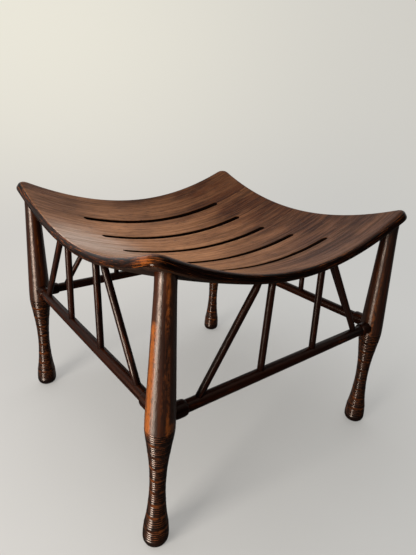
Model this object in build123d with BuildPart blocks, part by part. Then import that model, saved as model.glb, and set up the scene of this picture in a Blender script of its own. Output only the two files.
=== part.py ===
from build123d import *
import math
import os

# A low square stool: a dished, slotted seat on four turned legs, tied by stretchers and struts.
# Frame: origin on the floor under the middle of the seat, +X along the slots, +Z up.
# Front is -Y and left is -X. All lengths are in millimetres.

# Seat
seat_width = 427
seat_corner_radius = 16
seat_corner_height = 380.6
seat_thickness = 12.3
front_edge_dip = 55.9
side_edge_dip = 48.9
centre_dip = 90.7
slot_count = 5
slot_pitch_share = 0.1578
slot_length_share = 0.643
slot_width = 8.5
strips_per_board = 2

# Legs, from the sole up
leg_inset = 13.5
sole_radius = 12.2
foot_radius = 15.9
foot_height = 10
foot_steps = 3
waist_radius = 9.6
waist_height = 89
waist_flare_power = 1.6
swell_drop = 6.5
shoulder_radius = 17.1
shoulder_height = 173.5
shoulder_length = 28.5
ring_count = 9
ring_relief = 0.45
neck_radius = 11.3
neck_height = 338
taper_steps = 5
leg_tenon_width = 10
leg_tenon_cover = 2.5

# Stretchers, standing above the bottom of the legs' shoulders
stretcher_radius = 7.7
stretcher_rises = {"front": 10.5, "back": 10.5, "left": 16.5, "right": 13}
collar_radius = 10
collar_reach = 33
collar_round = 1.8
stretcher_tenon_width = 9
stretcher_tenon_length = 10.5

# Struts, set out from the middle of the side as shares of the leg spacing
strut_radius = 4.65
strut_foot_shares = {"upright": 0.127, "diagonal": 0.382}
strut_top_shares = {"upright": 0.1155, "diagonal": 0.1735}
strut_tenon_width = 5
strut_tenon_length = 5

# Glue room at every joint, and the spare length of cutting bodies
joint_gap = 0.15
overrun = 20

# The stool is hand-made: each leg stands a little off its square place and leans.
# Sides are +1 or -1 of half the spacing, shifts are shares of the shoulder radius,
# and leans are run over rise.
leg_side_shares = {
    "front_left": (-1, -1),
    "front_right": (1, -1),
    "back_left": (-1, 1),
    "back_right": (1, 1),
}
leg_shift_shares = {
    "front_left": (0.04, -0.12),
    "front_right": (0.14, -0.02),
    "back_left": (0.04, -0.05),
    "back_right": (-0.15, 0.07),
}
leg_lean_shares = {
    "front_left": (0.0185, -0.0111),
    "front_right": (-0.0110, 0.0048),
    "back_left": (0.0104, 0.0056),
    "back_right": (0.0064, -0.0048),
}
side_legs = {
    "front": ("front_left", "front_right"),
    "back": ("back_left", "back_right"),
    "left": ("front_left", "back_left"),
    "right": ("front_right", "back_right"),
}

half_width = seat_width / 2
leg_spacing = seat_width - 2 * leg_inset
slot_pitch = seat_width * slot_pitch_share
slot_length = seat_width * slot_length_share
edge_reach = half_width + overrun
dip_overlap = front_edge_dip + side_edge_dip - centre_dip
swell_height = shoulder_height - swell_drop
shoulder_top = shoulder_height + shoulder_length
stretcher_heights = {side: shoulder_height + rise for side, rise in stretcher_rises.items()}
set_out_height = stretcher_heights["front"]
floor_normal = Vector(0, 0, 1)


def seat_level(x, y):
    """Height of the seat's top, dipping from the corners both ways."""
    across = 1 - (x / half_width) ** 2
    along = 1 - (y / half_width) ** 2
    return seat_corner_height - front_edge_dip * across - side_edge_dip * along + dip_overlap * across * along


def underside_plane(x, y):
    """The plane that touches the seat's underside at a place, facing up."""
    slope_x = (front_edge_dip - dip_overlap * (1 - (y / half_width) ** 2)) * 2 * x / half_width**2
    slope_y = (side_edge_dip - dip_overlap * (1 - (x / half_width) ** 2)) * 2 * y / half_width**2
    return Plane(origin=(x, y, seat_level(x, y) - seat_thickness), z_dir=(-slope_x, -slope_y, 1))


def hollow(edge, middle):
    """A parabola across the seat from edge to edge, pulled down by its middle control point."""
    return Bezier((-edge_reach, edge), (0, 2 * middle - edge), (edge_reach, edge))


def leg_point(leg, height):
    """Where a leg's axis passes a height. It leans, but stands upright at the shoulder and the neck."""
    rise = height - set_out_height
    if shoulder_height <= height <= shoulder_top:
        rise = (shoulder_height + shoulder_top) / 2 - set_out_height
    elif height >= neck_height:
        rise = (neck_height + seat_corner_height) / 2 - set_out_height
    place = [
        side * leg_spacing / 2 + shift * shoulder_radius + lean * rise
        for side, shift, lean in zip(leg_side_shares[leg], leg_shift_shares[leg], leg_lean_shares[leg])
    ]
    return Vector(*place, height)


def stretcher_line(side):
    """The points on two leg axes that a stretcher's axis joins."""
    return [leg_point(leg, stretcher_heights[side]) for leg in side_legs[side]]


def side_plane(side):
    """The upright plane of a side on the floor: X along the stretcher, Y up."""
    start, end = stretcher_line(side)
    middle = (start + end) / 2
    along = (end - start).normalized()
    return Plane(origin=(middle.X, middle.Y, 0), x_dir=along, z_dir=along.cross(floor_normal))


def strut_line(side, kind, hand):
    """A strut's axis, from the stretcher's axis to the seat's underside."""
    plane = side_plane(side)
    foot = plane.from_local_coords((hand * strut_foot_shares[kind] * leg_spacing, stretcher_heights[side], 0))
    top = plane.from_local_coords((hand * strut_top_shares[kind] * leg_spacing, 0, 0))
    return foot, Vector(top.X, top.Y, seat_level(top.X, top.Y) - seat_thickness)


def round_bar(start, end, radius):
    """A round bar from one point to another."""
    with BuildPart() as bar:
        with BuildSketch(Plane(origin=start, z_dir=end - start)):
            Circle(radius)
        extrude(amount=(end - start).length)
    return bar.part


def square_bar(start, end, width, across):
    """A square bar from one point to another, with two faces square to a direction."""
    with BuildPart() as bar:
        with BuildSketch(Plane(origin=start, x_dir=across, z_dir=end - start)):
            Rectangle(width, width)
        extrude(amount=(end - start).length)
    return bar.part


def ringed_radius(height):
    """Radius of the ringed stretch, drawn in from the foot and the shoulder to a waist."""
    end_height, end_radius = foot_height, foot_radius
    if height > waist_height:
        end_height, end_radius = swell_height, shoulder_radius
    share = abs((height - waist_height) / (end_height - waist_height))
    return waist_radius + (end_radius - waist_radius) * min(share, 1) ** waist_flare_power


def ringed_rounds():
    """Heights and radii of the rounds from the sole up through the rings."""
    rounds = []
    for step in range(foot_steps + 1):
        angle = math.radians(90) * step / foot_steps
        tuck = (foot_radius - sole_radius) * math.sin(angle)
        rounds.append((foot_height * (1 - math.cos(angle)), sole_radius + tuck))
    ring_pitch = (shoulder_height - foot_height) / ring_count
    for ring in range(ring_count):
        groove = foot_height + (ring + 1) * ring_pitch
        crown = groove - ring_pitch / 2
        rounds.append((crown, ringed_radius(crown) + ring_relief))
        rounds.append((groove, ringed_radius(groove)))
    return rounds


def taper_rounds():
    """Heights and radii of the rounds from the shoulder up to the neck."""
    shares = [step / taper_steps for step in range(taper_steps + 1)]
    rise, drop = neck_height - shoulder_top, shoulder_radius - neck_radius
    return [(shoulder_top + rise * share, shoulder_radius - drop * share) for share in shares]


def level_round(leg, height, radius):
    """A level disc centred on a leg's leaning axis."""
    with BuildSketch(Plane(origin=leg_point(leg, height), z_dir=floor_normal)) as disc:
        Circle(radius)
    return disc.sketch


def plain_stretch(leg, bottom, top, radius):
    """A leg's plain upright stretch from one height to another."""
    with BuildPart() as stretch:
        extrude(level_round(leg, bottom, radius), amount=top - bottom)
    return stretch.part


def leg_blank(leg):
    """A turned leg before its joints are cut."""
    with BuildPart() as blank:
        for rounds in (ringed_rounds(), taper_rounds()):
            loft([level_round(leg, height, radius) for height, radius in rounds], ruled=True)
        add(plain_stretch(leg, shoulder_height, shoulder_top, shoulder_radius))
        add(plain_stretch(leg, neck_height, seat_corner_height, neck_radius))
    return blank.part


def leg_tenon(leg, gap):
    """The square tenon on a leg, or with a gap its blind mortise in the seat."""
    corner = leg_point(leg, seat_corner_height)
    low_x, low_y = (
        place - side * leg_tenon_width / 2 for place, side in zip((corner.X, corner.Y), leg_side_shares[leg])
    )
    top = seat_level(low_x, low_y) - leg_tenon_cover
    root = leg_point(leg, top - seat_thickness - leg_tenon_width)
    return square_bar(root, leg_point(leg, top + gap), leg_tenon_width + 2 * gap, Vector(1, 0, 0))


def stretcher_tenon(side, leg, gap):
    """The square tenon at one end of a stretcher, or with a gap its mortise in the leg."""
    plane = side_plane(side)
    centre = leg_point(leg, stretcher_heights[side])
    inward = plane.x_dir if leg == side_legs[side][0] else -plane.x_dir
    tip = centre + inward * (shoulder_radius - stretcher_tenon_length - gap)
    root = centre + inward * (shoulder_radius + collar_radius / 2)
    return square_bar(tip, root, stretcher_tenon_width + 2 * gap, floor_normal)


def strut_tenon(side, kind, hand, place, gap):
    """The square tenon at the foot or top of a strut, or with a gap its blind mortise."""
    foot, top = strut_line(side, kind, hand)
    rise = (top - foot).normalized()
    if place == "foot":
        tip = foot + rise * (stretcher_radius - strut_tenon_length - gap)
        root = foot + rise * (stretcher_radius + strut_radius * 2)
    else:
        tip = top + rise * (strut_tenon_length + gap)
        root = top - rise * strut_radius * 2
    return square_bar(tip, root, strut_tenon_width + 2 * gap, side_plane(side).z_dir)


def stretcher_outline(side):
    """Half outline of a stretcher about its axis, with a collar at each end."""
    start, end = stretcher_line(side)
    tip = (end - start).length / 2
    collar_inner = tip - collar_reach
    half = [
        (tip, 0),
        (tip, collar_radius),
        (collar_inner + collar_round, collar_radius),
        (collar_inner, stretcher_radius),
    ]
    right = [(along, stretcher_heights[side] + radius) for along, radius in half]
    left = [(-along, height) for along, height in reversed(right)]
    return right + left


os.makedirs("parts", exist_ok=True)

strut_places = [(kind, hand) for kind in strut_foot_shares for hand in (-1, 1)]
strip_reach = math.ceil(half_width / slot_pitch * strips_per_board)

# Seat panel, before it is parted into boards and cut
with BuildPart() as seat:
    for strip in range(-strip_reach, strip_reach + 1):
        y = strip * slot_pitch / strips_per_board
        edge = seat_level(edge_reach, y)
        middle = seat_level(0, y)
        with BuildSketch(Plane.XZ.offset(-y)):
            with BuildLine():
                top = hollow(edge, middle)
                base = hollow(edge - seat_thickness, middle - seat_thickness)
                Line(top @ 0, base @ 0)
                Line(top @ 1, base @ 1)
            make_face()
    loft(ruled=True)
    with BuildSketch():
        RectangleRounded(seat_width, seat_width, seat_corner_radius)
    extrude(amount=seat_corner_height + overrun, mode=Mode.INTERSECT)

# Boards, glued edge to edge along the slots' centre lines
seams = [(row - (slot_count - 1) / 2) * slot_pitch for row in range(slot_count)]
board_edges = [-edge_reach] + seams + [edge_reach]
for number, (low, high) in enumerate(zip(board_edges, board_edges[1:]), start=1):
    with BuildPart() as board:
        add(seat.part)
        with BuildSketch():
            with Locations((0, (low + high) / 2)):
                Rectangle(2 * edge_reach, high - low)
        extrude(amount=seat_corner_height + overrun, mode=Mode.INTERSECT)
        with BuildSketch():
            with GridLocations(0, slot_pitch, 1, slot_count):
                SlotOverall(slot_length, slot_width)
        extrude(amount=seat_corner_height, mode=Mode.SUBTRACT)
        for leg in leg_side_shares:
            add(leg_tenon(leg, joint_gap), mode=Mode.SUBTRACT)
        for side in side_legs:
            for kind, hand in strut_places:
                add(strut_tenon(side, kind, hand, "top", joint_gap), mode=Mode.SUBTRACT)
    board.part.label = f"seat_board_{number}"
    export_step(board.part, f"parts/{board.part.label}.step")

# Legs, mitred to the seat's underside
for leg in leg_side_shares:
    with BuildPart() as turned_leg:
        add(leg_blank(leg))
        top = leg_point(leg, seat_corner_height - seat_thickness)
        split(bisect_by=underside_plane(top.X, top.Y).offset(-joint_gap), keep=Keep.BOTTOM)
        add(leg_tenon(leg, 0))
        for side, ends in side_legs.items():
            if leg in ends:
                add(stretcher_tenon(side, leg, joint_gap), mode=Mode.SUBTRACT)
    turned_leg.part.label = f"leg_{leg}"
    export_step(turned_leg.part, f"parts/{turned_leg.part.label}.step")

# Stretchers, coped to the legs, and the struts that stand on them
for side, ends in side_legs.items():
    plane = side_plane(side)
    with BuildPart() as stretcher:
        with BuildSketch(plane):
            with BuildLine():
                Polyline(*stretcher_outline(side), close=True)
            make_face()
        revolve(axis=Axis(plane.from_local_coords((0, stretcher_heights[side], 0)), plane.x_dir))
        for leg in ends:
            room_for_leg = plain_stretch(leg, shoulder_height, shoulder_top, shoulder_radius + joint_gap)
            add(room_for_leg, mode=Mode.SUBTRACT)
            add(stretcher_tenon(side, leg, 0))
        for kind, hand in strut_places:
            add(strut_tenon(side, kind, hand, "foot", joint_gap), mode=Mode.SUBTRACT)
    stretcher.part.label = f"stretcher_{side}"
    export_step(stretcher.part, f"parts/{stretcher.part.label}.step")

    start, end = stretcher_line(side)
    room_for_stretcher = round_bar(start, end, stretcher_radius + joint_gap)
    places = sorted(strut_places, key=lambda place: place[1] * strut_foot_shares[place[0]])
    for number, (kind, hand) in enumerate(places, start=1):
        foot, top = strut_line(side, kind, hand)
        with BuildPart() as strut:
            add(round_bar(foot, top + (top - foot).normalized() * seat_thickness, strut_radius))
            add(room_for_stretcher, mode=Mode.SUBTRACT)
            split(bisect_by=underside_plane(top.X, top.Y).offset(-joint_gap), keep=Keep.BOTTOM)
            add(strut_tenon(side, kind, hand, "foot", 0))
            add(strut_tenon(side, kind, hand, "top", 0))
        strut.part.label = f"strut_{side}_{number}"
        export_step(strut.part, f"parts/{strut.part.label}.step")
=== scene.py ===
import math

import bpy
from mathutils import Matrix, Vector


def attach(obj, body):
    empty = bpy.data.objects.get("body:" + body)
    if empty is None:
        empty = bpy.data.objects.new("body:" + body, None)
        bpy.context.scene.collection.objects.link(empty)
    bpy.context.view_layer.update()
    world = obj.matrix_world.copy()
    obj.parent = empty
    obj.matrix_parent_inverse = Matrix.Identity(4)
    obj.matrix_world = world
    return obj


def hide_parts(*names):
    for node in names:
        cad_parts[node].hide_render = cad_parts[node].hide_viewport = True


# The looks of a low square stool: a dished, slotted seat on four ringed legs, with stretchers and struts.
# Metres, origin on the floor under the middle of the seat, +X along the slots, front -Y, left -X, +Z up.

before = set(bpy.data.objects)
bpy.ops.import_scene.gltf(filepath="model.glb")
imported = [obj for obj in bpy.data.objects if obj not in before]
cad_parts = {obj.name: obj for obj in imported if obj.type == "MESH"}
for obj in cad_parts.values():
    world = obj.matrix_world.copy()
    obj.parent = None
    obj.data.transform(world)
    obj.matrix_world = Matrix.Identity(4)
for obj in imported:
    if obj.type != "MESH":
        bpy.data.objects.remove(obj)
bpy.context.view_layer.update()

# Seat, whose thickness and arrises are measured square to its surface
seat_width = 0.427
half_width = seat_width / 2
seat_corner_radius = 0.016
corner_thickening = 0.0045
corner_rounding = 0.002
seat_corner_height = 0.3806
seat_thickness = 0.0123
seat_overlap = 0.0015
front_edge_dip = 0.0559
side_edge_dip = 0.0489
centre_dip = 0.0907
back_edge_rise = 0.0042
right_edge_rise = 0.0034
dip_overlap = front_edge_dip + side_edge_dip - centre_dip
slot_count = 5
slot_pitch = seat_width * 0.1578
slot_length = seat_width * 0.643
slot_width = 0.0101
slot_end_turn = 15
rim_round = 0.0042
rim_face_reach = 0.0014
slot_round = 0.00045
seam_round = 0.0003
arris_wear_inset = 0.0011
arris_wear_reach = 0.0013
seam_line_reach = 0.0007
open_seam_share = 0.9
closed_seam_share = 0.25

# Where a board's mesh has its points: along X, in from the rim there, and in from the long edges
station_pitch = 0.0055
rim_station_insets_mm = (0, 0.05, 0.2, 0.5, 0.9, 1.4, 2.1, 3.2, 4.5, 6.5, 9, 12, 16)
board_edge_insets = [0, 0.00006, 0.0002, 0.0005, 0.0009, 0.0015, 0.0023, 0.0033, 0.0048, 0.007]
board_inner_rows = 8
top_face, rim_face, base_face, slot_face = range(4)

# Legs
leg_spacing = 0.4
set_out_height = 0.184
shoulder_radius = 0.0171
leg_side_shares = {
    "front_left": (-1, -1),
    "front_right": (1, -1),
    "back_left": (-1, 1),
    "back_right": (1, 1),
}
leg_shift_shares = {
    "front_left": (0.04, -0.12),
    "front_right": (0.14, -0.02),
    "back_left": (0.04, -0.05),
    "back_right": (-0.15, 0.07),
}
leg_lean_shares = {
    "front_left": (0.0185, -0.0111),
    "front_right": (-0.0110, 0.0048),
    "back_left": (0.0104, 0.0056),
    "back_right": (0.0064, -0.0048),
}
side_legs = {
    "front": ("front_left", "front_right"),
    "back": ("back_left", "back_right"),
    "left": ("front_left", "back_left"),
    "right": ("front_right", "back_right"),
}
foot_outline = [
    (0, 0.0112),
    (0.0008, 0.0126),
    (0.003, 0.0145),
    (0.006, 0.0158),
    (0.009, 0.0162),
    (0.013, 0.0161),
]
waist_outline = [
    (0.013, 0.0161),
    (0.028, 0.0149),
    (0.045, 0.0123),
    (0.062, 0.0107),
    (0.082, 0.0096),
    (0.098, 0.0097),
    (0.116, 0.0106),
    (0.130, 0.0120),
    (0.142, 0.0136),
    (0.153, 0.0150),
    (0.163, 0.0165),
    (0.172, 0.0173),
]
upper_outline = [
    (0.172, 0.0173),
    (0.182, 0.0173),
    (0.200, 0.0167),
    (0.260, 0.0143),
    (0.330, 0.0116),
    (0.344, 0.0113),
]
upper_rows = 36
neck_reach = 0.006
leg_segments = 56
ring_groups = 9
beads_per_group = 4
bead_height = 0.00305
ring_start = 0.0132
ring_pitch = 0.01835
ringed_top = 0.1722
bead_crown = 0.0002
bead_groove = 0.0006
bead_fullness = 1.3
end_groove_share = 1.2
shoulder_lip = 0.0003
shoulder_lip_drop = 0.0001
shoulder_lip_depth = 0.3
shoulder_start = 0.001
bead_shares = ((0.0, 1.0), (0.1, 0.7), (0.28, 0.2), (0.5, 0.0), (0.72, 0.2), (0.9, 0.7))
land_shares = ((0.08, 0.0, 0.4), (0.2, 1.0, -0.6), (0.5, 1.5, -0.75), (0.8, 1.0, -0.6), (0.92, 0.0, 0.4))

# How rubbed the grooves are, from which depth, and how a leg's streak fades at its ends and sides
groove_rub = 0.74
deep_groove = 0.6
streak_fade_height = 0.012
streak_fade_reach = 1.25

# Where the legs are rubbed, and where the front left leg's window side is painted light: angle and reach
# in degrees, lowest and highest height, strength
leg_wear_and_painted_light_streaks = {
    "front_left": [
        # Painted light with wear: this streak paints the window-lit side of the front left leg orange
        (180, 36, 0.16, 0.31, 0.80),
        (-96, 14, 0.16, 0.29, 0.66),
        (-108, 22, 0.28, 0.36, 0.62),
        (-104, 30, 0.19, 0.34, 0.46),
        (-80, 40, 0.164, 0.196, 0.75),
        (-60, 20, 0.02, 0.15, 0.3),
    ],
    "front_right": [(-146, 20, 0.16, 0.36, 0.5), (-178, 10, 0.16, 0.30, 0.4), (20, 16, 0.16, 0.36, 0.5)],
    "back_left": [(-88, 12, 0.16, 0.36, 0.3), (-100, 40, 0.166, 0.192, 0.5), (150, 22, 0.16, 0.36, 0.35)],
    "back_right": [(60, 18, 0.16, 0.36, 0.5), (-30, 14, 0.16, 0.36, 0.4), (170, 16, 0.16, 0.36, 0.4)],
}

# Stretchers and struts
stretcher_radius = 0.0077
stretcher_heights = {"front": 0.184, "back": 0.184, "left": 0.190, "right": 0.1865}
bar_waist_reach = 0.06
bar_waist_swell = 0.0001
bar_segments = 40
collar_radius = 0.0101
collar_reach = 0.033
collar_barrel = ((0.010, 0.0094), (0.0165, 0.0097), (0.022, collar_radius), (0.027, collar_radius))
collar_end_round = 0.0045
collar_end_rows = 6
collar_undercut = 0.0002
collar_groove = 0.0003
collar_groove_end = 0.0015
strut_radius = 0.00465
strut_foot_row = 0.005
strut_top_row = 0.008
strut_rows = 9
strut_segments = 28
strut_foot_shares = {"upright": 0.127, "diagonal": 0.382}
strut_top_shares = {"upright": 0.1155, "diagonal": 0.1735}

# Finish
varnish_tint = (1.0, 0.80, 0.68, 1)
sheen_tint = (1.0, 0.85, 0.72, 1)
# Pale colour painted on the seat's top as a painted sheen, and the most of it that is used
painted_sheen_colour = (0.80, 0.66, 0.56, 1)
painted_sheen_limit = 0.7

# Where the seat is worn, painted darker far from its worn middle as painted shade, or painted pale near
# its left edge as a painted sheen, the distances or X over which that grows, and how much it adds
worn_middle = (-0.095, 0.0, 0.30)
worn_reach = (0.29, 0.05)
painted_far_shade_reach = (0.22, 0.36)
painted_sheen_middle = (-0.178, 0.02, 0.32)
painted_sheen_reach = (0.11, 0.01)
worn_corner = (-half_width, -half_width + 0.02, seat_corner_height)
worn_corner_reach = (0.040, 0.012)
worn_corner_gain = 0.09
worn_left_edge = (-0.205, -0.212)
worn_left_gain = 0.03
worn_arris_gain = 0.05

# Noise cells for each metre across, across and along the timber (for the rim: along X and Y and down)
streak_cells = (420, 420, 7)
broad_streak_cells = (230, 230, 3)
pore_cells = (760, 760, 60)
cloud_cells = (26, 26, 9)
rim_line_cells = (34, 34, 900)
rim_patch_cells = (70, 70, 200)
leg_band_cells = (120, 120, 10)
leg_mottle_cells = (420, 420, 190)
ring_mottle_cells = (150, 150, 150)
bar_wear_cells = (180, 180, 18)

# How far the grain is shifted from piece to piece, and how little it changes down through a board
board_shift = 0.37
board_drop_share = 0.12
leg_shift = 0.9
stretcher_shift = (4, 0.7)
strut_shift = (8, 0.3)

# Camera of the photograph
camera_place = (-0.4054, -0.5295, 0.5005)
camera_azimuth = -38.625
camera_elevation = 21.37
camera_roll = 3.134
camera_focal_px = 435.6
camera_clip_start = 0.01
photo_height_px = 555
sensor_width_mm = 36

# Studio
room_eye_height = 0.5
floor_reach = 60.0
floor_rings = 30
floor_segments = 96
floor_noise_cells = (3, 3, 3)
floor_dull = (0.55, 0.54, 0.525, 1)
floor_pale = (0.66, 0.65, 0.63, 1)
floor_unseen = (0.05, 0.048, 0.046, 1)
stool_middle = (0, 0, 0.2)

# Directions in the room
view_right = (0.85, -0.53, 0)
backdrop_right = (0.78, -0.62, 0)
behind_stool = (0.45, 0.89, 0)
towards_window = (-1, 0.1, 0.1)
upwards = (0, 0, 1)

# The room's colours, first as the camera sees its wall, at left and right, then as they light the stool
low_wall_colours = (0.655, 0.635, 0.60, 1), (0.575, 0.57, 0.55, 1)
high_wall_colours = (0.83, 0.80, 0.70, 1), (0.63, 0.615, 0.57, 1)
dim_front = (0.02, 0.019, 0.018, 1)
back_wall = (0.78, 0.78, 0.78, 1)
window_wall = (0.45, 0.43, 0.40, 1)
ceiling = (0.66, 0.66, 0.66, 1)

# Lamps: place, width and height, power, colour
lamps = {
    "window": ((-1.2, -0.30, 0.30), (0.46, 0.46), 20, (1.0, 0.96, 0.90)),
    "soft_top": ((-0.4, 0.5, 1.5), (1.2, 1.2), 5, (0.95, 0.97, 1.0)),
}


def seat_level(x, y):
    """Height of the seat's top, dished both ways, a little less so at the back and right edges."""
    across, along = x / half_width, y / half_width
    open_x, open_y = 1 - across**2, 1 - along**2
    level = seat_corner_height - front_edge_dip * open_x - side_edge_dip * open_y
    level += dip_overlap * open_x * open_y
    level += back_edge_rise * open_x * max(along, 0) ** 4
    return level + right_edge_rise * open_y * max(across, 0) ** 4


def corner_share(x, y):
    """How near a place of the seat is to a corner, from 0 to 1."""
    return min(abs(x * y) / half_width**2, 1) ** 4


def seat_facing(x, y):
    """The direction that the seat's top faces at a place."""
    slope_x = (front_edge_dip - dip_overlap * (1 - (y / half_width) ** 2)) * 2 * x / half_width**2
    slope_y = (side_edge_dip - dip_overlap * (1 - (x / half_width) ** 2)) * 2 * y / half_width**2
    return Vector((-slope_x, -slope_y, 1)).normalized()


def leg_point(leg, height):
    """Where the axis of a leg passes a height."""
    place = [
        side * leg_spacing / 2 + shift * shoulder_radius + lean * (height - set_out_height)
        for side, shift, lean in zip(leg_side_shares[leg], leg_shift_shares[leg], leg_lean_shares[leg])
    ]
    return Vector((*place, height))


def smooth_reading(outline, place):
    """Value of a smooth line through points at a place between the first and the last."""
    places = [point[0] for point in outline]
    values = [point[1] for point in outline]
    slopes = []
    for index in range(len(outline)):
        low, high = max(index - 1, 0), min(index + 1, len(outline) - 1)
        slopes.append((values[high] - values[low]) / (places[high] - places[low]))
    for index in range(len(outline) - 1):
        if place <= places[index + 1] or index == len(outline) - 2:
            span = places[index + 1] - places[index]
            share = min(max((place - places[index]) / span, 0), 1)
            hold = share * share * (3 - 2 * share)
            start_pull = share * (1 - share) ** 2 * span * slopes[index]
            end_pull = -share * share * (1 - share) * span * slopes[index + 1]
            return values[index] * (1 - hold) + values[index + 1] * hold + start_pull + end_pull


# Mesh helpers


def write_attribute(mesh, name, kind, values):
    """A value for each point of a mesh, under a name that materials read."""
    attribute = mesh.attributes.new(name, kind, "POINT")
    if kind == "FLOAT_VECTOR":
        attribute.data.foreach_set("vector", [part for value in values for part in value])
    else:
        attribute.data.foreach_set("value", values)


def make_piece(name, verts, faces, materials, face_materials, readings):
    """A smooth mesh piece on the stool. Its readings are the values that its materials read."""
    mesh = bpy.data.meshes.new(name)
    mesh.from_pydata(verts, [], faces)
    for material in materials:
        mesh.materials.append(material)
    mesh.polygons.foreach_set("material_index", face_materials)
    mesh.polygons.foreach_set("use_smooth", [True] * len(faces))
    for label, (kind, values) in readings.items():
        write_attribute(mesh, label, kind, values)
    mesh.update()
    piece = bpy.data.objects.new(name, mesh)
    bpy.context.scene.collection.objects.link(piece)
    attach(piece, "root")
    return piece


def turned(
    name, start, end, outline, segments, materials, grain_shift, wear_and_painted_light=None, level=False, end_trim=None
):
    """A turned piece about the line from start to end.

    The outline holds places along it, radii and groove depths. A level piece has level rounds and is
    measured by height. Wear and painted light say how worn a point is, and on a leg's window side how
    lit it is painted, from its angle, its place along the piece and its groove depth. Where there are two
    materials, the second goes on the stretch below the ringed top.
    """
    if level:
        rise = (end - start) / (end - start).z
        side, other = Vector((1, 0, 0)), Vector((0, 1, 0))
    else:
        rise = (end - start).normalized()
        side = rise.orthogonal().normalized()
        other = rise.cross(side)
    verts, place, worn = [], [], []
    for row, (along, radius, depth) in enumerate(outline):
        for step in range(segments):
            angle = 2 * math.pi * step / segments
            out = side * math.cos(angle) + other * math.sin(angle)
            point = start + rise * along + out * radius
            if end_trim and row == len(outline) - 1:
                point = end_trim(point)
            verts.append(point)
            place.append((math.cos(angle) * radius + grain_shift, math.sin(angle) * radius, along))
            worn.append(wear_and_painted_light(math.degrees(angle), along, depth) if wear_and_painted_light else 0.0)
    faces, kinds = [], []
    for row in range(len(outline) - 1):
        kind = 1 if len(materials) > 1 and outline[row][0] < ringed_top else 0
        for step in range(segments):
            after = (step + 1) % segments
            low, high = row * segments, (row + 1) * segments
            faces.append((low + step, low + after, high + after, high + step))
            kinds.append(kind)
    faces.append(tuple(reversed(range(segments))))
    faces.append(tuple(range((len(outline) - 1) * segments, len(outline) * segments)))
    kinds += [len(materials) - 1, 0]
    readings = {
        "timber_place": ("FLOAT_VECTOR", place),
        "turning_axis": ("FLOAT_VECTOR", [tuple(rise.normalized())] * len(verts)),
        "wear_and_painted_light_share": ("FLOAT", worn),
    }
    return make_piece(name, verts, faces, materials, kinds, readings)


def under_seat(point):
    """The place straight above or below a point, a little inside the seat."""
    return Vector((point.x, point.y, seat_level(point.x, point.y) - seat_thickness + seat_overlap))


# Shader helpers


def link(tree, source, target):
    tree.links.new(source, target)


def math_node(tree, operation, first, second=None, third=None, clamp=False):
    """A Math node whose inputs are sockets or numbers."""
    node = tree.nodes.new("ShaderNodeMath")
    node.operation = operation
    node.use_clamp = clamp
    for index, value in enumerate((first, second, third)):
        if value is None:
            continue
        if isinstance(value, (int, float)):
            node.inputs[index].default_value = value
        else:
            link(tree, value, node.inputs[index])
    return node.outputs[0]


def map_range(tree, value, low, high, to_low=0.0, to_high=1.0):
    """A smooth step from one range to another."""
    node = tree.nodes.new("ShaderNodeMapRange")
    node.interpolation_type = "SMOOTHSTEP"
    link(tree, value, node.inputs["Value"])
    node.inputs["From Min"].default_value = low
    node.inputs["From Max"].default_value = high
    node.inputs["To Min"].default_value = to_low
    node.inputs["To Max"].default_value = to_high
    return node.outputs["Result"]


def vector_math(tree, operation, vector, second=None):
    """A Vector Math node, whose second input is a constant."""
    node = tree.nodes.new("ShaderNodeVectorMath")
    node.operation = operation
    link(tree, vector, node.inputs[0])
    if second is not None:
        node.inputs[1].default_value = second
    return node


def distance_to(tree, place, target):
    """How far a place is from a fixed one."""
    return vector_math(tree, "DISTANCE", place, target).outputs["Value"]


def reach_along(tree, vector, direction):
    """How far a vector reaches in a fixed direction."""
    return vector_math(tree, "DOT_PRODUCT", vector, direction).outputs["Value"]


def mix_colour(tree, share, first, second):
    """A colour mix whose inputs are sockets or colours."""
    node = tree.nodes.new("ShaderNodeMix")
    node.data_type = "RGBA"
    for value, socket in ((share, node.inputs[0]), (first, node.inputs[6]), (second, node.inputs[7])):
        if isinstance(value, (int, float, tuple)):
            socket.default_value = value
        else:
            link(tree, value, socket)
    return node.outputs[2]


def stretched_noise(tree, vector, cells, detail, roughness):
    """Noise with its own number of cells for each metre along each axis."""
    mapping = tree.nodes.new("ShaderNodeMapping")
    mapping.inputs["Scale"].default_value = cells
    link(tree, vector, mapping.inputs["Vector"])
    noise = tree.nodes.new("ShaderNodeTexNoise")
    noise.inputs["Scale"].default_value = 1.0
    noise.inputs["Detail"].default_value = detail
    noise.inputs["Roughness"].default_value = roughness
    link(tree, mapping.outputs[0], noise.inputs["Vector"])
    return noise.outputs["Fac"]


def shader_group(name, inputs, outputs):
    """An empty node group with named inputs and outputs."""
    tree = bpy.data.node_groups.new(name, "ShaderNodeTree")
    for label, kind, value in inputs:
        socket = tree.interface.new_socket(name=label, in_out="INPUT", socket_type=kind)
        if value is not None:
            socket.default_value = value
    for label, kind in outputs:
        tree.interface.new_socket(name=label, in_out="OUTPUT", socket_type=kind)
    return tree, tree.nodes.new("NodeGroupInput"), tree.nodes.new("NodeGroupOutput")


def use_group(tree, group, **values):
    """A group placed in a material, with its inputs set or linked."""
    node = tree.nodes.new("ShaderNodeGroup")
    node.node_tree = group
    for label, value in values.items():
        socket = node.inputs[label]
        if isinstance(value, (int, float, tuple)):
            socket.default_value = value
        else:
            link(tree, value, socket)
    return node


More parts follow.
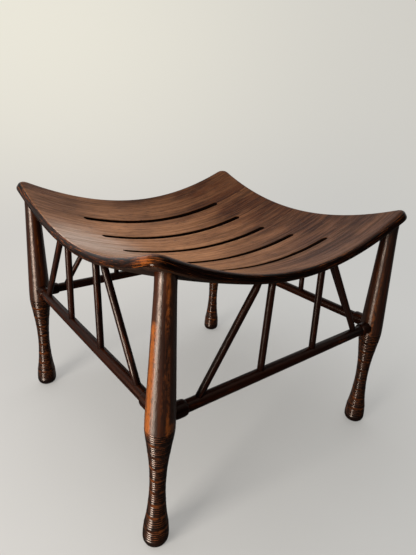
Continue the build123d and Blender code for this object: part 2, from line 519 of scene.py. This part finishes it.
def make_grain_group():
    """Straight grain along Z of a place in the timber: streaks, pores, clouds and a height."""
    tree, entry, exit_node = shader_group(
        "straight_grain",
        [("Place", "NodeSocketVector", None)],
        [(label, "NodeSocketFloat") for label in ("Streaks", "Pores", "Clouds", "Height")],
    )
    place = entry.outputs["Place"]
    streaks = stretched_noise(tree, place, streak_cells, 6.0, 0.72)
    broad = stretched_noise(tree, place, broad_streak_cells, 3.0, 0.5)
    pores = stretched_noise(tree, place, pore_cells, 2.0, 0.5)
    clouds = stretched_noise(tree, place, cloud_cells, 3.0, 0.55)
    mixed = math_node(tree, "MULTIPLY_ADD", streaks, 0.6, math_node(tree, "MULTIPLY", broad, 0.4))
    link(tree, map_range(tree, mixed, 0.40, 0.60), exit_node.inputs["Streaks"])
    pore_share = map_range(tree, pores, 0.56, 0.66)
    link(tree, pore_share, exit_node.inputs["Pores"])
    link(tree, map_range(tree, clouds, 0.34, 0.66), exit_node.inputs["Clouds"])
    height = math_node(tree, "SUBTRACT", streaks, math_node(tree, "MULTIPLY", pore_share, 0.5))
    link(tree, height, exit_node.inputs["Height"])
    return tree


def make_stain_group():
    """Dark stain over brown wood, worn to bright wood by a share."""
    tree, entry, exit_node = shader_group(
        "worn_stain",
        [
            ("Dark", "NodeSocketColor", (0.02, 0.01, 0.006, 1)),
            ("Brown", "NodeSocketColor", (0.09, 0.03, 0.012, 1)),
            ("Bright", "NodeSocketColor", (0.42, 0.13, 0.03, 1)),
            ("Streaks", "NodeSocketFloat", 0.5),
            ("Pores", "NodeSocketFloat", 0.0),
            ("Wear", "NodeSocketFloat", 0.0),
        ],
        [("Colour", "NodeSocketColor")],
    )
    body = mix_colour(tree, entry.outputs["Streaks"], entry.outputs["Dark"], entry.outputs["Brown"])
    grained_share = math_node(tree, "MULTIPLY_ADD", entry.outputs["Streaks"], 0.5, 0.5)
    grained = mix_colour(tree, grained_share, entry.outputs["Brown"], entry.outputs["Bright"])
    worn = mix_colour(tree, entry.outputs["Wear"], body, grained)
    pore_depth = math_node(tree, "MULTIPLY", entry.outputs["Pores"], 0.65)
    link(tree, mix_colour(tree, pore_depth, worn, entry.outputs["Dark"]), exit_node.inputs["Colour"])
    return tree


grain_group = make_grain_group()
stain_group = make_stain_group()


def start_material(name, specular=0.25, roughness=0.5):
    """A material with a wood shader whose gloss is warmed by old varnish."""
    material = bpy.data.materials.new(name)
    material.use_nodes = True
    tree = material.node_tree
    shader = tree.nodes["Principled BSDF"]
    shader.inputs["Roughness"].default_value = roughness
    shader.inputs["Specular IOR Level"].default_value = specular
    shader.inputs["Specular Tint"].default_value = varnish_tint
    return material, tree, shader


def reading(tree, name, output="Fac"):
    """A value that the piece holds at each of its points."""
    node = tree.nodes.new("ShaderNodeAttribute")
    node.attribute_name = name
    return node.outputs[output]


def timber_place(tree):
    """Where a point lies in its own timber."""
    return reading(tree, "timber_place", "Vector")


def stretch_gloss(tree, shader, amount):
    """Gloss that runs along a turned piece, as lathe marks spread it."""
    shader.inputs["Anisotropic"].default_value = amount
    link(tree, reading(tree, "turning_axis", "Vector"), shader.inputs["Tangent"])


def add_bump(tree, shader, height, distance):
    """Relief from a height."""
    bump = tree.nodes.new("ShaderNodeBump")
    bump.inputs["Distance"].default_value = distance
    link(tree, height, bump.inputs["Height"])
    link(tree, bump.outputs["Normal"], shader.inputs["Normal"])


def vary_roughness(tree, shader, value, value_range, roughness_range):
    """Roughness that follows a value."""
    link(tree, map_range(tree, value, *value_range, *roughness_range), shader.inputs["Roughness"])


def make_seat_top():
    """Satin brown boards with fine straight grain, worn lighter where sat on, with painted shade far from
    the middle and a painted sheen at the left.
    """
    material, tree, shader = start_material("seat_top", specular=0.10)
    shader.inputs["Sheen Weight"].default_value = 0.07
    shader.inputs["Sheen Roughness"].default_value = 0.3
    shader.inputs["Sheen Tint"].default_value = sheen_tint
    grain = use_group(tree, grain_group, Place=timber_place(tree))
    spot = tree.nodes.new("ShaderNodeTexCoord").outputs["Object"]
    from_middle = distance_to(tree, spot, worn_middle)
    middle_share = map_range(tree, from_middle, *worn_reach)
    far_share = map_range(tree, from_middle, *painted_far_shade_reach)
    uneven = math_node(tree, "MULTIPLY_ADD", grain.outputs["Clouds"], 0.32, -0.12)
    worn = math_node(tree, "ADD", math_node(tree, "MULTIPLY", middle_share, 0.85), uneven, clamp=True)
    # Painted shade: the grain is painted darker the farther it lies from the worn middle
    far_painted_shade = math_node(tree, "MULTIPLY_ADD", far_share, -0.50, 1.0)
    stain = use_group(
        tree,
        stain_group,
        Dark=(0.030, 0.008, 0.002, 1),
        Brown=(0.148, 0.043, 0.010, 1),
        Bright=(0.590, 0.265, 0.112, 1),
        Streaks=math_node(tree, "MULTIPLY", grain.outputs["Streaks"], far_painted_shade),
        Pores=math_node(tree, "MAXIMUM", grain.outputs["Pores"], reading(tree, "seam_share")),
        Wear=worn,
    )
    # Painted sheen: near the left edge the top is painted pale in its grain streaks, where it reflects
    # the bright wall behind
    from_sheen_middle = distance_to(tree, spot, painted_sheen_middle)
    painted_sheen_share = map_range(tree, from_sheen_middle, *painted_sheen_reach, 0.0, painted_sheen_limit)
    streaked = math_node(tree, "MULTIPLY_ADD", grain.outputs["Streaks"], 0.6, 0.4)
    painted_sheen_share = math_node(tree, "MULTIPLY", painted_sheen_share, streaked)
    colour = mix_colour(tree, painted_sheen_share, stain.outputs["Colour"], painted_sheen_colour)
    link(tree, colour, shader.inputs["Base Color"])
    vary_roughness(tree, shader, grain.outputs["Streaks"], (0, 1), (0.54, 0.42))
    add_bump(tree, shader, grain.outputs["Height"], distance=0.00025)
    return material


def make_seat_rim():
    """The rim, nearly black, worn orange in lines along it, most on its arris and at the near corner."""
    material, tree, shader = start_material("seat_rim", specular=0.14)
    place = tree.nodes.new("ShaderNodeTexCoord").outputs["Object"]
    along_rim = reading(tree, "rim_place", "Vector")
    lines = stretched_noise(tree, along_rim, rim_line_cells, 4.0, 0.65)
    patches = stretched_noise(tree, along_rim, rim_patch_cells, 4.0, 0.65)
    parts = tree.nodes.new("ShaderNodeSeparateXYZ")
    link(tree, place, parts.inputs[0])
    left_share = map_range(tree, parts.outputs["X"], *worn_left_edge)
    near_share = map_range(tree, distance_to(tree, place, worn_corner), *worn_corner_reach)
    rubbed = math_node(tree, "MULTIPLY", near_share, worn_corner_gain)
    rubbed = math_node(tree, "MULTIPLY_ADD", left_share, worn_left_gain, rubbed)
    rubbed = math_node(tree, "MULTIPLY_ADD", reading(tree, "wear_and_painted_light_share"), worn_arris_gain, rubbed)
    uneven = math_node(tree, "MULTIPLY_ADD", lines, 0.7, math_node(tree, "MULTIPLY", patches, 0.3))
    stain = use_group(
        tree,
        stain_group,
        Dark=(0.004, 0.0018, 0.0012, 1),
        Brown=(0.036, 0.010, 0.004, 1),
        Bright=(0.25, 0.062, 0.007, 1),
        Streaks=map_range(tree, lines, 0.42, 0.72),
        Wear=map_range(tree, math_node(tree, "ADD", uneven, rubbed), 0.56, 0.72),
    )
    link(tree, stain.outputs["Colour"], shader.inputs["Base Color"])
    vary_roughness(tree, shader, patches, (0.35, 0.65), (0.14, 0.24))
    add_bump(tree, shader, lines, distance=0.00012)
    return material


def make_shaded_underside():
    """Undersides painted a far darker brown than the top, as painted shade under the seat."""
    material, tree, shader = start_material("seat_underside", roughness=0.6)
    grain = use_group(tree, grain_group, Place=timber_place(tree))
    # Painted shade: the underside's brown is painted as dark as it looks in shadow
    stain = use_group(
        tree,
        stain_group,
        Dark=(0.008, 0.0035, 0.002, 1),
        Brown=(0.030, 0.012, 0.006, 1),
        Streaks=grain.outputs["Streaks"],
        Pores=grain.outputs["Pores"],
    )
    link(tree, stain.outputs["Colour"], shader.inputs["Base Color"])
    add_bump(tree, shader, grain.outputs["Height"], distance=0.0003)
    return material


def make_shaded_slot_wall():
    """Walls of the slots, painted nearly black as painted shade inside them."""
    material, tree, shader = start_material("slot_wall", specular=0.1, roughness=0.8)
    grain = use_group(tree, grain_group, Place=timber_place(tree))
    # Painted shade: the slot walls are painted nearly black, as they look shaded
    stain = use_group(
        tree,
        stain_group,
        Dark=(0.006, 0.003, 0.002, 1),
        Brown=(0.016, 0.007, 0.004, 1),
        Streaks=grain.outputs["Streaks"],
    )
    link(tree, stain.outputs["Colour"], shader.inputs["Base Color"])
    return material


def make_leg_finish():
    """Polished dark legs, rubbed to orange in mottled streaks; the front left leg's window side is also
    painted orange as painted light.
    """
    material, tree, shader = start_material("leg_finish", specular=1.0)
    stretch_gloss(tree, shader, 0.9)
    place = timber_place(tree)
    grain = use_group(tree, grain_group, Place=place)
    bands = stretched_noise(tree, place, leg_band_cells, 3.0, 0.55)
    mottle = stretched_noise(tree, place, leg_mottle_cells, 4.0, 0.62)
    uneven = math_node(tree, "MULTIPLY_ADD", bands, 1.1, math_node(tree, "MULTIPLY", mottle, 1.5))
    # The share read here holds wear, and painted light on the front left leg's window side
    rubbed = math_node(tree, "ADD", uneven, math_node(tree, "SUBTRACT", reading(tree, "wear_and_painted_light_share"), 1.8))
    stain = use_group(
        tree,
        stain_group,
        Dark=(0.008, 0.0018, 0.0006, 1),
        Brown=(0.038, 0.0075, 0.001, 1),
        Bright=(0.31, 0.080, 0.010, 1),
        Streaks=grain.outputs["Streaks"],
        Pores=map_range(tree, mottle, 0.57, 0.63),
        Wear=map_range(tree, rubbed, -0.14, 0.42),
    )
    link(tree, stain.outputs["Colour"], shader.inputs["Base Color"])
    vary_roughness(tree, shader, mottle, (0.38, 0.62), (0.38, 0.50))
    add_bump(tree, shader, mottle, distance=0.00022)
    return material


def make_ring_finish():
    """The ringed stretch, with glossy dark beads, brown lines between them and brown lands."""
    material, tree, shader = start_material("ring_finish", specular=0.5)
    place = timber_place(tree)
    grain = use_group(tree, grain_group, Place=place)
    mottle = stretched_noise(tree, place, ring_mottle_cells, 3.0, 0.6)
    wear_and_painted_light = math_node(tree, "SUBTRACT", reading(tree, "wear_and_painted_light_share"), 1.2)
    rubbed = math_node(tree, "ADD", math_node(tree, "MULTIPLY", mottle, 1.3), wear_and_painted_light)
    stain = use_group(
        tree,
        stain_group,
        Dark=(0.005, 0.002, 0.0014, 1),
        Brown=(0.012, 0.004, 0.002, 1),
        Bright=(0.17, 0.044, 0.009, 1),
        Streaks=grain.outputs["Clouds"],
        Wear=map_range(tree, rubbed, -0.10, 0.42),
    )
    link(tree, stain.outputs["Colour"], shader.inputs["Base Color"])
    vary_roughness(tree, shader, mottle, (0.35, 0.65), (0.17, 0.27))
    add_bump(tree, shader, mottle, distance=0.00003)
    return material


def make_bar_finish(name, specular, dark, brown, bright):
    """Very dark polished bars, a little rubbed."""
    material, tree, shader = start_material(name, specular)
    stretch_gloss(tree, shader, 0.85)
    place = timber_place(tree)
    grain = use_group(tree, grain_group, Place=place)
    rubbed = stretched_noise(tree, place, bar_wear_cells, 4.0, 0.6)
    stain = use_group(
        tree,
        stain_group,
        Dark=dark,
        Brown=brown,
        Bright=bright,
        Streaks=grain.outputs["Streaks"],
        Pores=grain.outputs["Pores"],
        Wear=map_range(tree, rubbed, 0.58, 0.74),
    )
    link(tree, stain.outputs["Colour"], shader.inputs["Base Color"])
    vary_roughness(tree, shader, rubbed, (0.3, 0.7), (0.34, 0.26))
    add_bump(tree, shader, grain.outputs["Height"], distance=0.0001)
    return material


# Seat boards


def arris_drop(inset, radius):
    """How far a rounded arris lies below the flat, at an inset from the edge."""
    if inset >= radius:
        return 0.0
    return radius - math.sqrt(max(radius**2 - (radius - max(inset, 0)) ** 2, 0))


def rim_inset(x, y):
    """Distance in from the seat's rounded square outline."""
    corner = half_width - seat_corner_radius
    beyond_x, beyond_y = abs(x) - corner, abs(y) - corner
    if beyond_x > 0 and beyond_y > 0:
        return seat_corner_radius - math.hypot(beyond_x, beyond_y)
    return half_width - max(abs(x), abs(y))


def rim_reach(x):
    """Half width of the seat's outline at a place along X."""
    beyond = abs(x) - (half_width - seat_corner_radius)
    if beyond <= 0:
        return half_width
    return half_width - seat_corner_radius + math.sqrt(max(seat_corner_radius**2 - beyond**2, 0))


def slot_reach(x):
    """Half width of a slot at a place along X."""
    beyond = abs(x) - (slot_length / 2 - slot_width / 2)
    if beyond <= 0:
        return slot_width / 2
    return math.sqrt(max((slot_width / 2) ** 2 - beyond**2, 0))


def slot_inset(x, offset):
    """Distance out from a slot's outline, at an offset from its middle line."""
    beyond = max(abs(x) - (slot_length / 2 - slot_width / 2), 0)
    return math.hypot(beyond, offset) - slot_width / 2


def board_stations():
    """Places along X where a board's section is taken, closer at the rim and at the slot ends."""
    stations = {round(step * station_pitch, 6) for step in range(int(half_width / station_pitch))}
    for inset in rim_station_insets_mm:
        stations.add(round(half_width - inset / 1000, 6))
    tip = slot_length / 2
    for step in range(90 // slot_end_turn + 1):
        turn = math.radians(slot_end_turn) * step
        stations.add(round(tip - slot_width / 2 * (1 - math.cos(turn)), 6))
    stations.add(round(tip + slot_round, 6))
    stations.add(round(tip + slot_round / 3, 6))
    half = sorted(stations)
    return [-x for x in reversed(half) if x > 0] + half


def board_row(x, low_seam, high_seam):
    """Places across a board at a station, closer at its long edges."""
    low = -rim_reach(x) if low_seam is None else low_seam + slot_reach(x)
    high = rim_reach(x) if high_seam is None else high_seam - slot_reach(x)
    inner_low, inner_high = low + board_edge_insets[-1], high - board_edge_insets[-1]
    inner = [
        inner_low + (inner_high - inner_low) * (step + 1) / (board_inner_rows + 1)
        for step in range(board_inner_rows)
    ]
    first = [low + inset for inset in board_edge_insets]
    last = [high - inset for inset in reversed(board_edge_insets)]
    return first + inner + last


def top_drop(x, y, seams_beside):
    """How far the rounded arrises of rim, slots and seams lower the top at a place."""
    drop = arris_drop(rim_inset(x, y), rim_round + corner_rounding * corner_share(x, y))
    for seam in seams_beside:
        drop = max(drop, arris_drop(slot_inset(x, y - seam), slot_round))
        if slot_reach(x) == 0:
            drop = max(drop, arris_drop(abs(y - seam), seam_round))
    return drop


def seam_line(x, y, seams_beside):
    """How dark the line of a glued seam is at a place: darker where it has opened."""
    for seam in seams_beside:
        if slot_reach(x) == 0 and abs(y - seam) < seam_line_reach:
            return open_seam_share if x > 0 and seam > 0 else closed_seam_share
    return 0.0


def arris_wear(x, y):
    """How worn the top is at a place for lying on the rim's arris."""
    return max(1 - abs(rim_inset(x, y) - arris_wear_inset) / arris_wear_reach, 0)


def face_kind(step, row_length, middle, low_seam, high_seam):
    """The material of a face of a board's loop, which runs along the top and back along the base."""
    if step in (row_length - 1, 2 * row_length - 1):
        seam = high_seam if step == row_length - 1 else low_seam
        return rim_face if seam is None else slot_face
    if rim_inset(middle.x, middle.y) < rim_face_reach:
        return rim_face
    return top_face if step < row_length - 1 else base_face


def board_faces(station_count, spots, low_seam, high_seam):
    """The faces between a board's sections and at its two ends, and their materials."""
    row_length = 2 * len(board_edge_insets) + board_inner_rows
    loop = 2 * row_length
    faces, kinds = [], []
    for index in range(station_count - 1):
        start, end = index * loop, (index + 1) * loop
        for step in range(loop):
            after = (step + 1) % loop
            faces.append((start + step, end + step, end + after, start + after))
            middle = (spots[start + step] + spots[end + after]) / 2
            kinds.append(face_kind(step, row_length, middle, low_seam, high_seam))
    for index, order in ((0, 1), (station_count - 1, -1)):
        base = index * loop
        for step in range(row_length - 1):
            corners = (base + step, base + step + 1, base + loop - 2 - step, base + loop - 1 - step)
            faces.append(corners[::order])
            kinds.append(rim_face)
    return faces, kinds


def make_board(number, low_seam, high_seam, materials):
    """One board, as sections across Y joined along X. An outer board has the rim for one long edge."""
    stations = board_stations()
    seams_beside = [seam for seam in (low_seam, high_seam) if seam is not None]
    verts, spots, seam_lines, worn_arris, rim_places = [], [], [], [], []
    for x in stations:
        row = board_row(x, low_seam, high_seam)
        for y, on_base in [(y, False) for y in row] + [(y, True) for y in reversed(row)]:
            depth = top_drop(x, y, seams_beside)
            if on_base:
                depth = seat_thickness + corner_thickening * corner_share(x, y) - depth
            verts.append(Vector((x, y, seat_level(x, y))) - seat_facing(x, y) * depth)
            spots.append(Vector((x, y)))
            seam_lines.append(seam_line(x, y, seams_beside))
            worn_arris.append(0.0 if on_base else arris_wear(x, y))
            rim_places.append((x, y, depth))
    faces, kinds = board_faces(len(stations), spots, low_seam, high_seam)
    place = [
        (vert.y + number, vert.z * board_drop_share, vert.x + number * board_shift) for vert in verts
    ]
    readings = {
        "timber_place": ("FLOAT_VECTOR", place),
        "seam_share": ("FLOAT", seam_lines),
        "wear_and_painted_light_share": ("FLOAT", worn_arris),
        "rim_place": ("FLOAT_VECTOR", rim_places),
    }
    piece = make_piece(f"board_{number}", verts, faces, materials, kinds, readings)
    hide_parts(f"seat_board_{number}")


# Legs


def leg_outline():
    """Places, radii and groove depths of a leg from sole to seat. A land's depth is below zero."""
    rows = [(height, radius, 0.0) for height, radius in foot_outline]
    for group in range(ring_groups):
        bottom = ring_start + group * ring_pitch
        for bead in range(beads_per_group):
            for share, depth in bead_shares:
                height = bottom + (bead + share) * bead_height
                lift = bead_crown - (bead_crown + bead_groove) * depth**bead_fullness
                rows.append((height, smooth_reading(waist_outline, height) + lift, depth))
        top = bottom + beads_per_group * bead_height
        rows.append((top, smooth_reading(waist_outline, top) - bead_groove * end_groove_share, 1.0))
        if group < ring_groups - 1:
            land = ring_pitch - beads_per_group * bead_height
            for share, lift, depth in land_shares:
                height = top + land * share
                rows.append((height, smooth_reading(waist_outline, height) + bead_crown * lift, depth))
    lip = top + shoulder_lip
    rows.append((lip, smooth_reading(upper_outline, lip) - shoulder_lip_drop, shoulder_lip_depth))
    bottom = top + shoulder_start
    neck, neck_radius = upper_outline[-1]
    for step in range(upper_rows):
        height = bottom + (neck - bottom) * step / (upper_rows - 1)
        rows.append((height, smooth_reading(upper_outline, height), 0.0))
    rows.append((neck + neck_reach, neck_radius, 0.0))
    return rows


def leg_wear_and_painted_light(leg):
    """How rubbed a leg is, and how lit its window side is painted, at an angle, a height and a groove
    depth.
    """

    def wear_and_painted_light(angle, height, depth):
        worn = 0.0
        for middle, reach, low, high, strength in leg_wear_and_painted_light_streaks[leg]:
            turn = abs((angle - middle + 180) % 360 - 180)
            side_share = min(max(streak_fade_reach - turn / reach, 0), 1)
            inside = min(height - low, high - height)
            end_share = min(max(inside / streak_fade_height, 0), 1)
            worn = max(worn, strength * side_share * end_share)
        return max(worn, -depth, groove_rub if depth > deep_groove else 0)

    return wear_and_painted_light


def make_legs(materials):
    """The four legs, each leaning its own way."""
    outline = leg_outline()
    for number, leg in enumerate(leg_side_shares):
        piece = turned(
            f"turned_leg_{leg}",
            leg_point(leg, 0),
            leg_point(leg, seat_corner_height),
            outline,
            leg_segments,
            materials,
            number * leg_shift,
            wear_and_painted_light=leg_wear_and_painted_light(leg),
            level=True,
            end_trim=under_seat,
        )
        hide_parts(f"leg_{leg}")


# Stretchers and struts


def collar_outline():
    """Places and radii of a barrel collar, from inside the leg to the bar."""
    rows = list(collar_barrel)
    for step in range(collar_end_rows):
        share = step / (collar_end_rows - 1)
        angle = math.radians(90) * share
        along = collar_reach - collar_end_round * (1 - math.sin(angle))
        radius = stretcher_radius + (collar_radius - stretcher_radius) * math.cos(angle)
        rows.append((along, radius - collar_undercut * share))
    rows.append((collar_reach + collar_groove, stretcher_radius - collar_groove))
    rows.append((collar_reach + collar_groove_end, stretcher_radius))
    return rows


def ungrooved(rows):
    """An outline from places and radii alone."""
    return [(along, radius, 0.0) for along, radius in rows]


def make_stretchers(material):
    """Four bars, each with a barrel collar at both ends."""
    collar = collar_outline()
    first_shift, next_shift = stretcher_shift
    for number, (side, ends) in enumerate(side_legs.items()):
        start, end = (leg_point(leg, stretcher_heights[side]) for leg in ends)
        length = (end - start).length
        swell = stretcher_radius + bar_waist_swell
        bar = [(length / 2 + reach, swell) for reach in (-bar_waist_reach, 0, bar_waist_reach)]
        far_collar = [(length - along, radius) for along, radius in reversed(collar)]
        piece = turned(
            f"stretcher_bar_{side}",
            start,
            end,
            ungrooved(collar + bar + far_collar),
            bar_segments,
            [material],
            first_shift + number * next_shift,
        )
        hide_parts(f"stretcher_{side}")


def make_struts(material):
    """Four struts on each side, two upright and two diagonal."""
    places = [(kind, hand) for kind in strut_foot_shares for hand in (-1, 1)]
    places.sort(key=lambda place: place[1] * strut_foot_shares[place[0]])
    first_shift, side_shift = strut_shift
    for side, ends in side_legs.items():
        start, end = (leg_point(leg, stretcher_heights[side]) for leg in ends)
        middle, along = (start + end) / 2, (end - start).normalized()
        level = Vector((along.x, along.y, 0)).normalized()
        for number, (kind, hand) in enumerate(places, start=1):
            foot = middle + along * hand * strut_foot_shares[kind] * leg_spacing
            top = middle + level * hand * strut_top_shares[kind] * leg_spacing
            top.z = seat_level(top.x, top.y) - seat_thickness
            length = (top - foot).length
            plain = length - strut_foot_row - strut_top_row
            rows = [strut_foot_row + plain * step / (strut_rows - 1) for step in range(strut_rows)]
            piece = turned(
                f"strut_bar_{side}_{number}",
                foot,
                top,
                ungrooved((along_strut, strut_radius) for along_strut in rows + [length]),
                strut_segments,
                [material],
                first_shift + number + len(side) * side_shift,
                end_trim=under_seat,
            )
            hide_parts(f"strut_{side}_{number}")


# Studio


def make_camera():
    """The photograph's camera."""
    azimuth, elevation = math.radians(camera_azimuth), math.radians(camera_elevation)
    roll = math.radians(camera_roll)
    back = Vector(
        (
            math.sin(azimuth) * math.cos(elevation),
            -math.cos(azimuth) * math.cos(elevation),
            math.sin(elevation),
        )
    )
    right = (-back).cross(Vector((0, 0, 1))).normalized()
    up = right.cross(-back)
    rolled_right = right * math.cos(roll) + up * math.sin(roll)
    rolled_up = up * math.cos(roll) - right * math.sin(roll)
    data = bpy.data.cameras.new("photo_camera")
    data.sensor_width = sensor_width_mm
    data.lens = camera_focal_px / photo_height_px * sensor_width_mm
    data.clip_start = camera_clip_start
    camera = bpy.data.objects.new("photo_camera", data)
    turn = [[rolled_right[i], rolled_up[i], back[i], camera_place[i]] for i in range(3)]
    camera.matrix_world = Matrix(turn + [[0, 0, 0, 1]])
    bpy.context.scene.collection.objects.link(camera)
    bpy.context.scene.camera = camera


def make_backdrop_group():
    """The pale room's colour in a direction: warm and bright at the upper left, greyer to the right."""
    tree, entry, exit_node = shader_group(
        "backdrop_tint", [("Direction", "NodeSocketVector", None)], [("Colour", "NodeSocketColor")]
    )
    direction = entry.outputs["Direction"]
    parts = tree.nodes.new("ShaderNodeSeparateXYZ")
    link(tree, direction, parts.inputs[0])
    side_share = map_range(tree, reach_along(tree, direction, backdrop_right), -0.45, 0.45)
    height_share = map_range(tree, parts.outputs["Z"], -0.42, 0.16)
    low_wall = mix_colour(tree, side_share, *low_wall_colours)
    high_wall = mix_colour(tree, side_share, *high_wall_colours)
    link(tree, mix_colour(tree, height_share, low_wall, high_wall), exit_node.inputs["Colour"])
    return tree


def make_floor_mesh():
    """A wide round floor, with its rings closer near the stool."""
    verts = [Vector((0, 0, 0))]
    for ring in range(1, floor_rings + 1):
        for step in range(floor_segments):
            angle = 2 * math.pi * step / floor_segments
            radius = floor_reach * (ring / floor_rings) ** 3
            verts.append(Vector((math.cos(angle) * radius, math.sin(angle) * radius, 0)))
    faces = [(0, 1 + step, 1 + (step + 1) % floor_segments) for step in range(floor_segments)]
    for ring in range(floor_rings - 1):
        for step in range(floor_segments):
            after = (step + 1) % floor_segments
            low, high = 1 + ring * floor_segments, 1 + (ring + 1) * floor_segments
            faces.append((low + step, high + step, high + after, low + after))
    mesh = bpy.data.meshes.new("floor")
    mesh.from_pydata(verts, [], faces)
    return mesh


def make_floor_material(backdrop_group):
    """A floor that fades into the backdrop, pale to the camera and dim to the light on the stool. It is
    painted darker to the left and paler to the right as painted shade and light, and its glow lightens
    the stool's cast shadow as painted light.
    """
    material = bpy.data.materials.new("pale_floor")
    material.use_nodes = True
    tree = material.node_tree
    shader = tree.nodes["Principled BSDF"]
    shader.inputs["Roughness"].default_value = 0.6
    shader.inputs["Specular IOR Level"].default_value = 0.2
    place = tree.nodes.new("ShaderNodeTexCoord").outputs["Object"]
    soft = stretched_noise(tree, place, floor_noise_cells, 2.0, 0.5)
    # Painted shade and light: the floor is painted darker to the left and paler to the right
    floor_painted_gradient = map_range(tree, reach_along(tree, place, view_right), -0.35, 0.35, -0.4, 0.6)
    soft = math_node(tree, "ADD", soft, floor_painted_gradient, clamp=True)
    seen = tree.nodes.new("ShaderNodeLightPath").outputs["Is Camera Ray"]
    seen_colour = mix_colour(tree, soft, floor_dull, floor_pale)
    link(tree, mix_colour(tree, seen, floor_unseen, seen_colour), shader.inputs["Base Color"])
    outward = vector_math(tree, "SUBTRACT", place, (0, 0, room_eye_height))
    direction = vector_math(tree, "NORMALIZE", outward.outputs[0])
    backdrop = use_group(tree, backdrop_group, Direction=direction.outputs[0])
    glow = tree.nodes.new("ShaderNodeEmission")
    link(tree, backdrop.outputs["Colour"], glow.inputs["Color"])
    away = vector_math(tree, "LENGTH", place).outputs["Value"]
    # Painted light: even beside the stool, a third of what the camera sees is glow, which lightens the
    # cast shadow
    far_share = map_range(tree, away, 0.15, 0.75, 0.3, 1.0)
    mixer = tree.nodes.new("ShaderNodeMixShader")
    link(tree, math_node(tree, "MULTIPLY", far_share, seen), mixer.inputs[0])
    link(tree, shader.outputs[0], mixer.inputs[1])
    link(tree, glow.outputs[0], mixer.inputs[2])
    link(tree, mixer.outputs[0], tree.nodes["Material Output"].inputs["Surface"])
    return material


def make_floor(backdrop_group):
    """The floor that the stool stands on."""
    mesh = make_floor_mesh()
    mesh.materials.append(make_floor_material(backdrop_group))
    floor = bpy.data.objects.new("floor", mesh)
    bpy.context.scene.collection.objects.link(floor)


def make_world(backdrop_group):
    """Soft light from a room that is dim in front, and the pale wall that the camera sees."""
    world = bpy.data.worlds.new("room")
    world.use_nodes = True
    bpy.context.scene.world = world
    tree = world.node_tree
    direction = tree.nodes.new("ShaderNodeTexCoord").outputs["Generated"]
    backdrop = use_group(tree, backdrop_group, Direction=direction)
    behind = map_range(tree, reach_along(tree, direction, behind_stool), -0.15, 0.55)
    window_side = map_range(tree, reach_along(tree, direction, towards_window), 0.1, 0.9)
    overhead = map_range(tree, reach_along(tree, direction, upwards), 0.45, 0.95)
    walls = mix_colour(tree, behind, dim_front, back_wall)
    walls = mix_colour(tree, window_side, walls, window_wall)
    room = mix_colour(tree, overhead, walls, ceiling)
    seen = tree.nodes["Background"]
    light = tree.nodes.new("ShaderNodeBackground")
    link(tree, backdrop.outputs["Colour"], seen.inputs["Color"])
    link(tree, room, light.inputs["Color"])
    mixer = tree.nodes.new("ShaderNodeMixShader")
    link(tree, tree.nodes.new("ShaderNodeLightPath").outputs["Is Camera Ray"], mixer.inputs[0])
    link(tree, light.outputs[0], mixer.inputs[1])
    link(tree, seen.outputs[0], mixer.inputs[2])
    link(tree, mixer.outputs[0], tree.nodes["World Output"].inputs["Surface"])


def add_lamp(name, place, size, energy, colour):
    """A soft rectangular lamp aimed at the middle of the stool."""
    data = bpy.data.lights.new(name, "AREA")
    data.shape = "RECTANGLE"
    data.size, data.size_y = size
    data.energy = energy
    data.color = colour
    lamp = bpy.data.objects.new(name, data)
    lamp.location = place
    lamp.rotation_euler = (Vector(stool_middle) - Vector(place)).to_track_quat("-Z", "Y").to_euler()
    bpy.context.scene.collection.objects.link(lamp)


seams = [(row - (slot_count - 1) / 2) * slot_pitch for row in range(slot_count)]
board_materials = [make_seat_top(), make_seat_rim(), make_shaded_underside(), make_shaded_slot_wall()]
for number, (low_seam, high_seam) in enumerate(zip([None] + seams, seams + [None]), start=1):
    make_board(number, low_seam, high_seam, board_materials)
make_legs([make_leg_finish(), make_ring_finish()])
stretcher_finish = make_bar_finish(
    "stretcher_finish",
    specular=0.14,
    dark=(0.005, 0.0014, 0.0007, 1),
    brown=(0.022, 0.005, 0.0018, 1),
    bright=(0.09, 0.020, 0.005, 1),
)
strut_finish = make_bar_finish(
    "strut_finish",
    specular=0.34,
    dark=(0.005, 0.0016, 0.001, 1),
    brown=(0.020, 0.005, 0.0024, 1),
    bright=(0.10, 0.022, 0.007, 1),
)
make_stretchers(stretcher_finish)
make_struts(strut_finish)

make_camera()
backdrop_group = make_backdrop_group()
make_floor(backdrop_group)
make_world(backdrop_group)
for name, (place, size, energy, colour) in lamps.items():
    add_lamp(name, place, size, energy, colour)
bpy.context.scene.view_settings.view_transform = "Standard"
